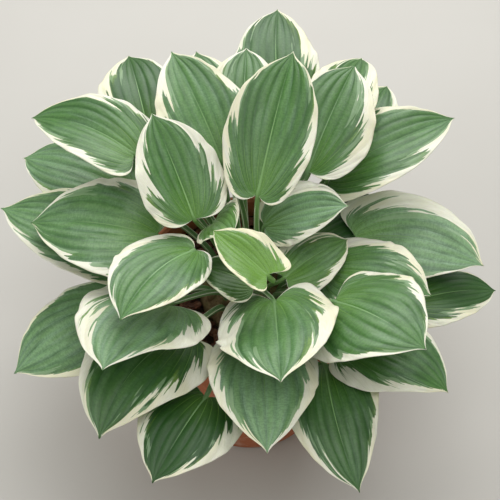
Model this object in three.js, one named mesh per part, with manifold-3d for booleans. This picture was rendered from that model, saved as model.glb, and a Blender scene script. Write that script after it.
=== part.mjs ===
// A hosta with cream-edged leaves, growing in a plain clay flowerpot.
// Millimetres, +Z up. The origin is the middle of the flat underside of the pot.
import * as THREE from "three";
import { mergeVertices } from "three/addons/utils/BufferGeometryUtils.js";
import Module from "manifold-3d";

const wasm = await Module();
wasm.setup();

// Driving dimensions: the pot and what fills it.
const potHeight = 270;
const potRimRadius = 155;
const potBaseRadius = 105;
const potWall = 9;
const potFloor = 12;
const rimBandHeight = 42;
const rimBandProud = 7;
const rimFlare = 2;
const edgeEase = 3;
const drainHoleRadius = 7;
const drainHoleRing = 55;
const drainHoles = 4;
const soilDepthBelowRim = 28;
const mulchDepth = 9;
const mulchRelief = 3.5;
const mulchEdgeGap = 3;
const seatGap = 0.3;

// Driving dimensions: the crown that the leaf stalks grow from.
const crownRadius = 68;
const crownAboveSoil = 26;
const crownBelowSoil = 34;
const crownShoulder = 6;
const socketDepth = 9;

// Driving dimensions: the leaves.
const bladeThickness = 1;
const usualArch = 12;
const usualFold = 0.2;
const usualLobe = 0.9;
const usualWidest = 0.3;
const usualLift = 0.3;
const edgeDroop = 0.2;
const marginWave = 3;
const wavesAlong = 10;
const tipTaper = 0.9;
const lobeTaper = 6;
const stalkBaseRadius = 4.6;
const stalkTopRadius = 3.2;
const collarHeight = 4;
const stalkRise = 0.35;
const stalkArrival = 0.3;
const ribEndRadius = 0.9;
const ribReach = 0.3;
const ribSink = 0.6;

// How finely the surfaces are divided.
const bladeRows = 8;
const bladeStrips = 6;
const rowCrowding = 1.6;
const stalkSides = 5;
const stalkSteps = 5;
const ribSteps = 2;
const potSegments = 36;
const crownSegments = 16;
const holeSegments = 12;

const soilTop = potHeight - soilDepthBelowRim;
const bandBottom = potHeight - rimBandHeight;
const up = new THREE.Vector3(0, 0, 1);
const radians = THREE.MathUtils.degToRad;
const lerp = THREE.MathUtils.lerp;

// Each leaf, from the crown's middle at soil level. base is where the stalk meets the blade, tip is
// the blade's point, width its full width, and socket the ring radius and bearing of its place on
// the crown. Where a leaf differs from the usual one: arch is how far the midrib bows up from the
// straight line between base and tip, bow how far it bends to the right, roll how many degrees the
// blade leans over its midrib, fold how steep its V is, lobe how far the two lobes reach back past
// the stalk, lift how much they rise, widest how far along the blade is widest, and sway how far
// the stalk bends aside to pass its neighbours.
const leaves = [
  // the youngest leaves, in the middle
  { name: "young_cupped", base: [20, -100, 180], tip: [-45, -40, 190], width: 68, socket: [12, 285],
    arch: 4, fold: 0.45, sway: [0, 10, 0], lobe: 1.3 },
  { name: "young_curled", base: [-45, 10, 145], tip: [-20, -30, 170], width: 75, socket: [14, 150],
    arch: 6, roll: 25, fold: 0.3, lobe: 0.3, sway: [4, 0, 0] },
  { name: "small_dark", base: [5, -75, 125], tip: [-65, -45, 125], width: 70, socket: [14, 220],
    arch: 6, lobe: 0.5 },
  // the tall leaves round them
  { name: "tall_centre", base: [10, 15, 195], tip: [55, 175, 285], width: 115, socket: [12, 10],
    fold: 0.4, lobe: 0.6, widest: 0.4 },
  { name: "tall_left", base: [-35, 75, 185], tip: [-105, 230, 235], width: 130, socket: [27, 110],
    arch: 10, fold: 0.3, sway: [12, 10, 0] },
  { name: "tall_right", base: [75, 75, 170], tip: [140, 220, 220], width: 130, socket: [41, 58],
    arch: 10, fold: 0.25, lobe: 0.4, widest: 0.36, sway: [0, 15, 0] },
  { name: "left_upright", base: [-70, -5, 170], tip: [-125, 115, 235], width: 112, socket: [27, 175],
    arch: 6, fold: 0.4, lobe: 0.4, widest: 0.34, sway: [-10, 34, 0] },
  { name: "right_upright", base: [20, 25, 120], tip: [125, 20, 165], width: 88, socket: [27, 20],
    arch: 8, bow: -4, roll: 16, lobe: 0.4, widest: 0.36 },
  { name: "left_arched", base: [-70, -40, 150], tip: [-150, -170, 185], width: 110, socket: [27, 215],
    bow: 8, lobe: 0.6, widest: 0.42, sway: [-22, 6, 0] },
  { name: "front_heart", base: [30, -90, 110], tip: [35, -240, 165], width: 150, socket: [27, 285],
    arch: 8, roll: 10, fold: 0.15, lobe: 1.4, lift: 0.15, widest: 0.36 },
  // the leaves at the back
  { name: "back_middle", base: [-10, 125, 175], tip: [-5, 270, 205], width: 115, socket: [41, 96] },
  { name: "back_high", base: [40, 210, 155], tip: [40, 380, 180], width: 124, socket: [54, 78],
    arch: 14, bow: -4, fold: 0.15 },
  { name: "back_left_inner", base: [-45, 140, 155], tip: [-75, 285, 185], width: 110,
    socket: [41, 116] },
  { name: "back_left", base: [-140, 180, 135], tip: [-175, 320, 145], width: 125,
    socket: [54, 126] },
  { name: "back_right", base: [105, 150, 175], tip: [160, 310, 150], width: 100, socket: [54, 64],
    arch: 14 },
  { name: "back_right_low", base: [140, 175, 100], tip: [200, 300, 105], width: 100,
    socket: [54, 44] },
  // the leaves on the left
  { name: "left_high", base: [-150, 95, 180], tip: [-295, 175, 165], width: 114, socket: [41, 142],
    arch: 16, bow: 5, fold: 0.35, sway: [-8, 20, -10] },
  { name: "left_under", base: [-170, 115, 90], tip: [-320, 180, 80], width: 140, socket: [54, 146] },
  { name: "left_far", base: [-145, 10, 90], tip: [-335, 75, 95], width: 145, socket: [54, 168],
    bow: -4 },
  { name: "left_large", base: [-120, 0, 130], tip: [-285, 25, 125], width: 165, socket: [41, 183],
    arch: 14 },
  // the leaves at the front
  { name: "front_left", base: [-105, -90, 105], tip: [-170, -215, 150], width: 165,
    socket: [41, 222], arch: 8, bow: 10, roll: 8, fold: 0.15 },
  { name: "front_left_far", base: [-165, -60, 45], tip: [-300, -145, 30], width: 145,
    socket: [54, 196], arch: 14, fold: 0.1 },
  { name: "front_left_low", base: [-90, -110, 65], tip: [-180, -255, 60], width: 150,
    socket: [54, 232], arch: 14, bow: 14 },
  { name: "front_lowest", base: [-55, -185, 40], tip: [-115, -305, 45], width: 130,
    socket: [54, 254], arch: 10, fold: 0.15 },
  { name: "front_middle", base: [15, -135, 80], tip: [20, -290, 90], width: 136, socket: [41, 272],
    fold: 0.15 },
  { name: "front_right_low", base: [95, -145, 50], tip: [130, -310, 30], width: 120,
    socket: [54, 296], arch: 14, bow: 8, fold: 0.1 },
  // the leaves on the right
  { name: "right_front", base: [105, -90, 110], tip: [205, -190, 155], width: 165,
    socket: [41, 318], arch: 14, roll: 4, fold: 0.05 },
  { name: "right_front_low", base: [125, -120, 60], tip: [245, -185, 50], width: 125,
    socket: [54, 318], arch: 14, bow: -7 },
  { name: "right_middle", base: [110, -15, 75], tip: [230, -70, 95], width: 125, socket: [41, 340],
    bow: -4, fold: 0.15 },
  { name: "right_large", base: [145, 50, 60], tip: [310, 0, 65], width: 150, socket: [41, 8],
    bow: -14, roll: 8, fold: 0.1 },
  { name: "right_far", base: [215, -35, 35], tip: [335, 0, 10], width: 95, socket: [54, 345],
    arch: 10, fold: 0.15 },
  { name: "right_inner", base: [45, -40, 95], tip: [130, 30, 85], width: 90, socket: [27, 325],
    arch: 8 },
  { name: "right_back", base: [110, 115, 120], tip: [280, 190, 150], width: 130, socket: [41, 40],
    arch: 14, bow: 4, fold: 0.3 },
  { name: "right_dark", base: [75, 65, 45], tip: [185, 145, 35], width: 105, socket: [54, 22],
    arch: 10 },
  // the low leaves at the back, under the others
  { name: "back_low_1", base: [-100, 165, 55], tip: [-165, 285, 30], width: 105, socket: [60, 116],
    arch: 14, fold: 0.15 },
  { name: "back_low_2", base: [-25, 195, 60], tip: [-30, 335, 40], width: 110, socket: [54, 106],
    arch: 14, fold: 0.15 },
  { name: "back_low_3", base: [85, 180, 50], tip: [110, 315, 30], width: 105, socket: [54, 93],
    arch: 14, fold: 0.15 },
];

// The margin of a leaf, for u from 0 at the stalk to 1 at the tip: how far along the midrib, with
// the two lobes reaching back past the stalk, and how far out as a share of the half width.
function marginAlong(leaf, u) {
  return u - (leaf.lobe ?? usualLobe) * Math.sqrt(u) * (1 - u) ** lobeTaper;
}

function marginAcross(leaf, u) {
  const widest = leaf.widest ?? usualWidest;
  const baseTaper = (tipTaper * widest) / (1 - widest);
  return ((1 - u) / (1 - widest)) ** tipTaper * (u / widest) ** baseTaper;
}

// The midrib of a leaf, from the stalk to the tip.
function midribOf(leaf) {
  const base = new THREE.Vector3(...leaf.base);
  const tip = new THREE.Vector3(...leaf.tip);
  const chord = tip.clone().sub(base);
  const right = chord.clone().cross(up).normalize();
  const above = right.clone().cross(chord).normalize();
  const bend = base.clone().add(tip).multiplyScalar(0.5);
  bend.addScaledVector(above, 2 * (leaf.arch ?? usualArch));
  bend.addScaledVector(right, 2 * (leaf.bow ?? 0));
  return new THREE.QuadraticBezierCurve3(base, bend, tip);
}

// A point of the blade's middle surface: u runs from the stalk to the tip along a vein, and t from
// -1 on the left margin over 0 on the midrib to 1 on the right margin.
function bladePoint(leaf, midrib, u, t) {
  const length = midrib.getLength();
  const along = u + (marginAlong(leaf, u) - u) * Math.abs(t);
  const s = Math.max(along, 0);
  const ahead = midrib.getTangent(s);
  const point = midrib.getPoint(s);
  point.addScaledVector(midrib.getTangent(0), Math.min(along, 0) * length);
  const right = ahead.clone().cross(up).normalize().applyAxisAngle(ahead, radians(leaf.roll ?? 0));
  const above = right.clone().cross(ahead).normalize();
  const across = (marginAcross(leaf, u) * t * leaf.width) / 2;
  const ripple = Math.sin(leaf.base[0] + wavesAlong * u + 2 * Math.sign(t));
  const height =
    (leaf.fold ?? usualFold) * Math.abs(across) -
    (edgeDroop * across * across) / (leaf.width / 2) +
    (leaf.lift ?? usualLift) * Math.max(-along, 0) * length +
    marginWave * marginAcross(leaf, u) * t * t * ripple;
  return point.addScaledVector(right, across).addScaledVector(above, height);
}

// The blade: two sheets with the same triangles, closed by a rim along both margins.
function bladeGeometry(leaf, midrib) {
  const points = [bladePoint(leaf, midrib, 0, 0)];
  for (let i = 1; i < bladeRows; i += 1) {
    const u = (i / bladeRows) ** rowCrowding;
    for (let j = 0; j <= bladeStrips; j += 1) {
      points.push(bladePoint(leaf, midrib, u, (2 * j) / bladeStrips - 1));
    }
  }
  points.push(bladePoint(leaf, midrib, 1, 0));
  const tip = points.length - 1;
  const rowLength = bladeStrips + 1;
  const lastRow = tip - rowLength;
  const sheet = [];
  for (let j = 0; j < bladeStrips; j += 1) {
    sheet.push([0, j + 2, j + 1]);
    for (let row = 1; row < lastRow; row += rowLength) {
      const near = row + j;
      const far = near + rowLength;
      sheet.push([near, near + 1, far + 1]);
      sheet.push([near, far + 1, far]);
    }
    sheet.push([lastRow + j, lastRow + j + 1, tip]);
  }
  return thickened(points, sheet);
}

// A closed solid from an open sheet, half the blade's thickness to each side.
function thickened(points, triangles) {
  const normals = points.map(() => new THREE.Vector3());
  for (const [a, b, c] of triangles) {
    const edge = points[b].clone().sub(points[a]);
    const face = edge.cross(points[c].clone().sub(points[a]));
    for (const corner of [a, b, c]) {
      normals[corner].add(face);
    }
  }
  const half = bladeThickness / 2;
  const top = points.map((p, i) => p.clone().addScaledVector(normals[i].normalize(), half));
  const bottom = points.map((p, i) => p.clone().addScaledVector(normals[i], -half));
  const count = points.length;
  const faces = [];
  const rim = new Map();
  for (const [a, b, c] of triangles) {
    faces.push(a, b, c);
    faces.push(c + count, b + count, a + count);
    for (const [from, to] of [[a, b], [b, c], [c, a]]) {
      if (!rim.delete(`${to},${from}`)) {
        rim.set(`${from},${to}`, [from, to]);
      }
    }
  }
  for (const [from, to] of rim.values()) {
    faces.push(to, from, from + count);
    faces.push(to, from + count, to + count);
  }
  return new THREE.BufferGeometry().setFromPoints([...top, ...bottom]).setIndex(faces);
}

// The foot of a leaf's stalk, at the height z.
function footOf(leaf, z) {
  const [ring, bearing] = leaf.socket;
  const turn = radians(bearing);
  return new THREE.Vector3(ring * Math.cos(turn), ring * Math.sin(turn), z);
}

// The stalk stands straight in its socket, curves up to the blade and thins out along the midrib.
function stalkGeometry(leaf, midrib) {
  const crownTop = crownTopAt(leaf.socket[0]);
  const collar = footOf(leaf, crownTop + collarHeight);
  const base = midrib.getPoint(0);
  const reach = base.distanceTo(collar);
  const straight = base.clone().sub(collar).normalize();
  const arrival = midrib.getTangent(0).add(straight).normalize();
  const sway = new THREE.Vector3(...(leaf.sway ?? [0, 0, 0]));
  const lower = collar.clone().addScaledVector(up, reach * stalkRise).add(sway);
  const upper = base.clone().addScaledVector(arrival, -reach * stalkArrival).add(sway);
  const stalk = new THREE.CubicBezierCurve3(collar, lower, upper, base);
  const foot = footOf(leaf, crownTop - socketDepth + seatGap);
  const rings = [{ centre: foot, ahead: up, radius: stalkBaseRadius }];
  for (let i = 0; i <= stalkSteps; i += 1) {
    const s = i / stalkSteps;
    const radius = lerp(stalkBaseRadius, stalkTopRadius, s);
    rings.push({ centre: stalk.getPoint(s), ahead: stalk.getTangent(s), radius });
  }
  for (let i = 1; i <= ribSteps; i += 1) {
    const s = (i / ribSteps) * ribReach;
    const radius = lerp(stalkTopRadius, ribEndRadius, i / ribSteps);
    const centre = bladePoint(leaf, midrib, s, 0).addScaledVector(up, -radius * ribSink);
    rings.push({ centre, ahead: midrib.getTangent(s), radius });
  }
  return tubeGeometry(rings);
}

// A closed tube through a row of rings, each a regular polygon square to the way ahead.
function tubeGeometry(rings) {
  const points = [];
  let side = new THREE.Vector3(1, 0, 0);
  for (const { centre, ahead, radius } of rings) {
    const across = side.clone().addScaledVector(ahead, -side.dot(ahead)).normalize();
    const out = ahead.clone().cross(across);
    for (let k = 0; k < stalkSides; k += 1) {
      const angle = (2 * Math.PI * k) / stalkSides;
      const spoke = across.clone().multiplyScalar(Math.cos(angle) * radius);
      points.push(spoke.addScaledVector(out, Math.sin(angle) * radius).add(centre));
    }
    side = across;
  }
  const faces = [];
  const last = (rings.length - 1) * stalkSides;
  for (let k = 0; k < stalkSides; k += 1) {
    const next = (k + 1) % stalkSides;
    for (let start = 0; start < last; start += stalkSides) {
      const above = start + stalkSides;
      faces.push(start + k, start + next, above + next);
      faces.push(start + k, above + next, above + k);
    }
    if (k > 1) {
      faces.push(0, k, k - 1);
      faces.push(last, last + k - 1, last + k);
    }
  }
  return new THREE.BufferGeometry().setFromPoints(points).setIndex(faces);
}

function solidOf(geometry) {
  const bare = geometry.clone();
  bare.deleteAttribute("normal");
  bare.deleteAttribute("uv");
  const merged = mergeVertices(bare, 1e-4);
  const vertProperties = new Float32Array(merged.attributes.position.array);
  const triVerts = new Uint32Array(merged.index.array);
  return new wasm.Manifold(new wasm.Mesh({ numProp: 3, vertProperties, triVerts }));
}

function meshOf(solid, name, color, roughness) {
  const { vertProperties, triVerts } = solid.getMesh();
  const geometry = new THREE.BufferGeometry();
  geometry.setAttribute("position", new THREE.BufferAttribute(vertProperties, 3));
  geometry.setIndex(new THREE.BufferAttribute(triVerts, 1));
  geometry.computeVertexNormals();
  const mesh = new THREE.Mesh(geometry, new THREE.MeshStandardMaterial({ color, roughness }));
  mesh.name = name;
  return mesh;
}

// A turned solid, from a profile of [radius, height] points that starts and ends on the axis.
function turned(profile, segments) {
  const points = profile.map(([radius, height]) => new THREE.Vector2(radius, height));
  return solidOf(new THREE.LatheGeometry(points, segments).rotateX(Math.PI / 2));
}

// The pot's tapered wall, outside and inside.
function outerRadiusAt(z) {
  return lerp(potBaseRadius, potRimRadius - rimBandProud, z / bandBottom);
}

function innerRadiusAt(z) {
  return outerRadiusAt(z) - potWall;
}

// The pot: a tapered clay wall with a thicker band at the rim, and drain holes off its middle.
function potMesh() {
  const profile = [
    [0, 0],
    [potBaseRadius - edgeEase, 0],
    [potBaseRadius, edgeEase],
    [outerRadiusAt(bandBottom), bandBottom],
    [potRimRadius - edgeEase, bandBottom],
    [potRimRadius, bandBottom + edgeEase],
    [potRimRadius + rimFlare, potHeight - edgeEase],
    [potRimRadius - edgeEase, potHeight],
    [innerRadiusAt(potHeight) + edgeEase, potHeight],
    [innerRadiusAt(potHeight - edgeEase), potHeight - edgeEase],
    [innerRadiusAt(potFloor), potFloor],
    [0, potFloor],
  ];
  let pot = turned(profile, potSegments);
  for (let i = 0; i < drainHoles; i += 1) {
    const angle = (2 * Math.PI * (i + 0.5)) / drainHoles;
    const length = 3 * potFloor;
    const hole = new THREE.CylinderGeometry(drainHoleRadius, drainHoleRadius, length, holeSegments);
    hole.rotateX(Math.PI / 2);
    hole.translate(drainHoleRing * Math.cos(angle), drainHoleRing * Math.sin(angle), 0);
    pot = pot.subtract(solidOf(hole));
  }
  return meshOf(pot, "pot", 0xb5673f, 0.85);
}

// The crown: a low dome out of the soil over a shallow bowl of roots, with a hole for each stalk.
function crownTopAt(radius) {
  return crownAboveSoil * Math.sqrt(Math.max(0, 1 - (radius / (crownRadius + crownShoulder)) ** 2));
}

function crownDepthAt(share) {
  return crownBelowSoil * Math.sqrt(1 - share * share);
}

function crownMesh() {
  const profile = [[0, -crownBelowSoil]];
  for (const share of [0.5, 0.85, 1]) {
    profile.push([crownRadius * share, -crownDepthAt(share)]);
  }
  for (const share of [0.94, 0.8, 0.6, 0.35]) {
    profile.push([crownRadius * share, crownTopAt(crownRadius * share)]);
  }
  profile.push([0, crownAboveSoil]);
  let crown = turned(profile, crownSegments);
  for (const leaf of leaves) {
    crown = crown.subtract(socketSolid(leaf));
  }
  return meshOf(crown, "crown", 0x8a7a52, 0.8);
}

// The plain hole in the crown that one stalk stands in.
function socketSolid(leaf) {
  const radius = stalkBaseRadius + seatGap / Math.cos(Math.PI / stalkSides);
  const bottom = footOf(leaf, crownTopAt(leaf.socket[0]) - socketDepth);
  const top = footOf(leaf, 2 * crownAboveSoil);
  return solidOf(tubeGeometry([bottom, top].map((centre) => ({ centre, ahead: up, radius }))));
}

// The potting soil fills the pot round the buried half of the crown.
function soilMesh() {
  const floor = potFloor + seatGap;
  const profile = [
    [0, floor - soilTop],
    [innerRadiusAt(floor) - seatGap, floor - soilTop],
    [innerRadiusAt(soilTop) - seatGap, 0],
    [crownRadius + seatGap, 0],
  ];
  for (const share of [0.85, 0.5]) {
    profile.push([crownRadius * share + seatGap, -crownDepthAt(share) - seatGap]);
  }
  profile.push([0, -crownBelowSoil - seatGap]);
  return meshOf(turned(profile, potSegments), "soil", 0x3a2a20, 1);
}

// The bark mulch lies on the soil round the crown, its chips raised from the layer by a formula.
function mulchMesh() {
  const rings = 5;
  const spokes = 36;
  const inner = crownRadius + crownShoulder + 1;
  const outer = innerRadiusAt(soilTop) - mulchEdgeGap;
  const top = [];
  for (let i = 0; i <= rings; i += 1) {
    const radius = lerp(inner, outer, i / rings);
    for (let j = 0; j < spokes; j += 1) {
      const angle = (2 * Math.PI * (j + 0.5 * (i % 2))) / spokes;
      const x = radius * Math.cos(angle);
      const y = radius * Math.sin(angle);
      const chips = Math.sin(0.31 * x + 1.3 * i) * Math.cos(0.27 * y - 0.9 * j);
      top.push(new THREE.Vector3(x, y, mulchDepth + mulchRelief * chips));
    }
  }
  const bottom = top.map((p) => p.clone().setZ(seatGap));
  const under = top.length;
  const rim = rings * spokes;
  const faces = [];
  for (let j = 0; j < spokes; j += 1) {
    const next = (j + 1) % spokes;
    for (let start = 0; start < rim; start += spokes) {
      const [a, b, c, d] = [start + j, start + spokes + j, start + spokes + next, start + next];
      faces.push(a, b, c, a, c, d);
      faces.push(under + c, under + b, under + a, under + d, under + c, under + a);
    }
    faces.push(j, next, next + under, j, next + under, j + under);
    faces.push(rim + next, rim + j, rim + j + under);
    faces.push(rim + next, rim + j + under, rim + next + under);
  }
  const layer = new THREE.BufferGeometry().setFromPoints([...top, ...bottom]).setIndex(faces);
  return meshOf(solidOf(layer), "bark_mulch", 0x6b4029, 1);
}

// A leaf is one piece: blade, raised midrib and stalk.
function leafMesh(leaf) {
  const midrib = midribOf(leaf);
  const blade = solidOf(bladeGeometry(leaf, midrib));
  const stalk = solidOf(stalkGeometry(leaf, midrib));
  return meshOf(blade.add(stalk), `leaf_${leaf.name}`, 0x3f6b45, 0.5);
}

const part = new THREE.Group();
part.add(potMesh());
const planted = new THREE.Group();
planted.position.z = soilTop;
planted.add(soilMesh(), mulchMesh(), crownMesh());
for (const leaf of leaves) {
  planted.add(leafMesh(leaf));
}
part.add(planted);

export default part;
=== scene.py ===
import math
import random

import bmesh
import bpy
from mathutils import Matrix, Vector, noise


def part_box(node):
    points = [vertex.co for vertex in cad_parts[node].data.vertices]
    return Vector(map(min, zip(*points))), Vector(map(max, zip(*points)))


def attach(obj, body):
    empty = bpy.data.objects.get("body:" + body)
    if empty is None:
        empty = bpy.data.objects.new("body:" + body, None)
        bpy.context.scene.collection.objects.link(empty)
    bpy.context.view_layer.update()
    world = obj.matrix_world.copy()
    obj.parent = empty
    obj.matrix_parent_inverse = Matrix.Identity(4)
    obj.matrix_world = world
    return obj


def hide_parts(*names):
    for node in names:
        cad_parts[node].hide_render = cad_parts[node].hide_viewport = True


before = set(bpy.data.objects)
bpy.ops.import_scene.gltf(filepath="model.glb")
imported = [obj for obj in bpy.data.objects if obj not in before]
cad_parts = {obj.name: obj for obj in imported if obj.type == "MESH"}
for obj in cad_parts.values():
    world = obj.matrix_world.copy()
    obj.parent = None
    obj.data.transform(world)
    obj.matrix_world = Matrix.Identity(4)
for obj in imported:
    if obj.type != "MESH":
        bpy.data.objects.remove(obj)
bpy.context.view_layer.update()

# --------------------------------------------------------------------------------------------
# The pot is one piece of red earthenware, turned to a taper with a thick band at the rim and
# fired without a glaze. Four drain holes go through its floor, clear of the middle.
# --------------------------------------------------------------------------------------------
MM = 0.001
UP = Vector((0, 0, 1))
POT_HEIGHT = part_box("pot")[1].z / MM
POT_RIM_RADIUS = 155
POT_BASE_RADIUS = 105
POT_WALL = 9
POT_FLOOR = 12
RIM_BAND_HEIGHT = 42
RIM_BAND_PROUD = 7
RIM_FLARE = 2
POT_EDGE = 3
DRAIN_HOLES = 4
DRAIN_RADIUS = 7
DRAIN_RING = 55
POT_STEPS = 144
EASED_EDGE = 1.6
BAND_BOTTOM = POT_HEIGHT - RIM_BAND_HEIGHT


def linear(hex_colour):
    """The linear colour, with alpha, of an sRGB hex value."""
    parts = [int(hex_colour[i : i + 2], 16) / 255 for i in (1, 3, 5)]
    return tuple(c / 12.92 if c <= 0.04045 else ((c + 0.055) / 1.055) ** 2.4 for c in parts) + (1,)


def add_node(material, kind, inputs=(), **settings):
    """Adds a node to a material. Each input is a value, or the socket of another node.

    A Map Range node takes a value in 0, its range in 1 and 2, and the range it becomes in 3 and 4.
    A colour Mix node takes the share of the second colour in 0, and the two colours in 6 and 7.
    """
    node = material.node_tree.nodes.new(kind)
    for name, value in settings.items():
        setattr(node, name, value)
    for socket, value in dict(inputs).items():
        if isinstance(value, bpy.types.NodeSocket):
            material.node_tree.links.new(value, node.inputs[socket])
        else:
            node.inputs[socket].default_value = value
    return node


def finish_material(material, inputs):
    """Gives a material its shader, with these values and sockets, and returns the material."""
    shader = add_node(material, "ShaderNodeBsdfPrincipled", inputs)
    add_node(material, "ShaderNodeOutputMaterial", {"Surface": shader.outputs[0]})
    return material


def new_material(name):
    material = bpy.data.materials.new(name)
    material.use_nodes = True
    material.node_tree.nodes.clear()
    return material


def new_piece(name, bm, materials, node):
    """A finished mesh becomes a piece of the object and stands for its CAD node."""
    mesh = bpy.data.meshes.new(name)
    bm.to_mesh(mesh)
    bm.free()
    for material in materials:
        mesh.materials.append(material)
    mesh.shade_smooth()
    piece = bpy.data.objects.new(name, mesh)
    bpy.context.scene.collection.objects.link(piece)
    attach(piece, "root")
    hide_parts(node)
    return piece


def turned(profile, steps):
    """A mesh turned round the Z axis, from a profile of (radius, height) points in mm."""
    bm = bmesh.new()
    points = [bm.verts.new((radius * MM, 0, height * MM)) for radius, height in profile]
    lines = [bm.edges.new(pair) for pair in zip(points, points[1:])]
    bmesh.ops.spin(
        bm, geom=points + lines, cent=(0, 0, 0), axis=UP, angle=math.tau, steps=steps, use_merge=True
    )
    bmesh.ops.remove_doubles(bm, verts=bm.verts, dist=0.01 * MM)
    bmesh.ops.recalc_face_normals(bm, faces=bm.faces)
    return bm


def outer_radius_at(z):
    """The outside of the pot's tapered wall below the band, in mm."""
    return POT_BASE_RADIUS + (POT_RIM_RADIUS - RIM_BAND_PROUD - POT_BASE_RADIUS) * z / BAND_BOTTOM


def inner_radius_at(z):
    return outer_radius_at(z) - POT_WALL


def terracotta():
    """Unglazed earthenware: warm matt red-orange, paler where lime has bloomed out of the wall."""
    material = new_material("terracotta")
    place = add_node(material, "ShaderNodeTexCoord").outputs["Object"]
    height = add_node(material, "ShaderNodeSeparateXYZ", {0: place}).outputs["Z"]
    clouds = add_node(material, "ShaderNodeTexNoise", {"Vector": place, "Scale": 1 / (45 * MM), "Detail": 5})
    fired = add_node(
        material, "ShaderNodeMix",
        {0: clouds.outputs[0], 6: linear("#9c4f30"), 7: linear("#c77b52")}, data_type="RGBA",
    )
    grit = add_node(material, "ShaderNodeTexNoise", {"Vector": place, "Scale": 1 / (1.4 * MM), "Detail": 3})
    speck = add_node(material, "ShaderNodeMapRange", {0: grit.outputs[0], 1: 0.62, 2: 0.72, 4: 0.35})
    body = add_node(
        material, "ShaderNodeMix",
        {0: speck.outputs[0], 6: fired.outputs[2], 7: linear("#7a3c26")}, data_type="RGBA",
    )
    lime = add_node(
        material, "ShaderNodeTexNoise",
        {"Vector": place, "Scale": 1 / (26 * MM), "Detail": 8, "Roughness": 0.65, "Distortion": 0.4},
    )
    patches = add_node(material, "ShaderNodeMapRange", {0: lime.outputs[0], 1: 0.5, 2: 0.74, 4: 0.55})
    low = add_node(material, "ShaderNodeMapRange", {0: height, 1: 0.21, 2: 0.02, 3: 0.25, 4: 1})
    bloom = add_node(
        material, "ShaderNodeMath", {0: patches.outputs[0], 1: low.outputs[0]}, operation="MULTIPLY"
    )
    aged = add_node(
        material, "ShaderNodeMix",
        {0: bloom.outputs[0], 6: body.outputs[2], 7: linear("#d9c3ae")}, data_type="RGBA",
    )
    # the turner's fingers leave shallow rings about 5 mm apart
    rings = add_node(
        material, "ShaderNodeTexWave",
        {"Vector": place, "Scale": 0.31 / (5 * MM), "Distortion": 1.2, "Detail": 2, "Detail Scale": 0.4},
        bands_direction="Z",
    )
    ringed = add_node(
        material, "ShaderNodeBump", {"Height": rings.outputs[0], "Strength": 0.12, "Distance": MM}
    )
    grained = add_node(
        material, "ShaderNodeBump",
        {"Height": grit.outputs[0], "Strength": 0.3, "Distance": 0.5 * MM, "Normal": ringed.outputs[0]},
    )
    return finish_material(
        material,
        {"Base Color": aged.outputs[2], "Roughness": 0.88, "IOR": 1.5, "Normal": grained.outputs[0]},
    )


def clay_pot():
    profile = [
        (0, 0),
        (POT_BASE_RADIUS - POT_EDGE, 0),
        (POT_BASE_RADIUS, POT_EDGE),
        (outer_radius_at(BAND_BOTTOM / 3), BAND_BOTTOM / 3),
        (outer_radius_at(BAND_BOTTOM * 2 / 3), BAND_BOTTOM * 2 / 3),
        (outer_radius_at(BAND_BOTTOM), BAND_BOTTOM),
        (POT_RIM_RADIUS - POT_EDGE, BAND_BOTTOM),
        (POT_RIM_RADIUS, BAND_BOTTOM + POT_EDGE),
        (POT_RIM_RADIUS + RIM_FLARE, POT_HEIGHT - POT_EDGE),
        (POT_RIM_RADIUS - POT_EDGE, POT_HEIGHT),
        (inner_radius_at(POT_HEIGHT) + POT_EDGE, POT_HEIGHT),
        (inner_radius_at(POT_HEIGHT - POT_EDGE), POT_HEIGHT - POT_EDGE),
        (inner_radius_at(BAND_BOTTOM), BAND_BOTTOM),
        (inner_radius_at(POT_FLOOR), POT_FLOOR),
        (0, POT_FLOOR),
    ]
    pot = new_piece("clay_pot", turned(profile, POT_STEPS), [terracotta()], "pot")
    punch = bmesh.new()
    for i in range(DRAIN_HOLES):
        angle = math.tau * (i + 0.5) / DRAIN_HOLES
        place = Vector((math.cos(angle), math.sin(angle), 0)) * DRAIN_RING * MM
        bmesh.ops.create_cone(
            punch, cap_ends=True, segments=32, radius1=DRAIN_RADIUS * MM, radius2=DRAIN_RADIUS * MM,
            depth=4 * POT_FLOOR * MM, matrix=Matrix.Translation(place),
        )
    tool_mesh = bpy.data.meshes.new("drain_punch")
    punch.to_mesh(tool_mesh)
    punch.free()
    tool = bpy.data.objects.new("drain_punch", tool_mesh)
    bpy.context.scene.collection.objects.link(tool)
    cut = pot.modifiers.new("drain holes", "BOOLEAN")
    cut.object = tool
    cut.solver = "EXACT"
    bpy.context.view_layer.update()
    drilled = pot.evaluated_get(bpy.context.evaluated_depsgraph_get())
    pot.modifiers.clear()
    pot.data = bpy.data.meshes.new_from_object(drilled)
    bpy.data.objects.remove(tool)
    ease = pot.modifiers.new("eased edges", "BEVEL")
    ease.width = EASED_EDGE * MM
    ease.segments = 3
    ease.limit_method = "ANGLE"
    ease.angle_limit = math.radians(25)
    ease.harden_normals = True


clay_pot()

# --------------------------------------------------------------------------------------------
# Potting soil fills the pot to 28 mm below the rim: dark composted peat in fine crumbs, pressed
# down by hand. It carries the crown and the bark.
# --------------------------------------------------------------------------------------------
SOIL_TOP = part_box("soil")[1].z / MM
CROWN_RADIUS = 68
SEAT_GAP = 0.3
SOIL_RINGS = 30
SOIL_LUMP_HEIGHT = 2.4
SOIL_LUMP_SIZE = 9


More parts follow.
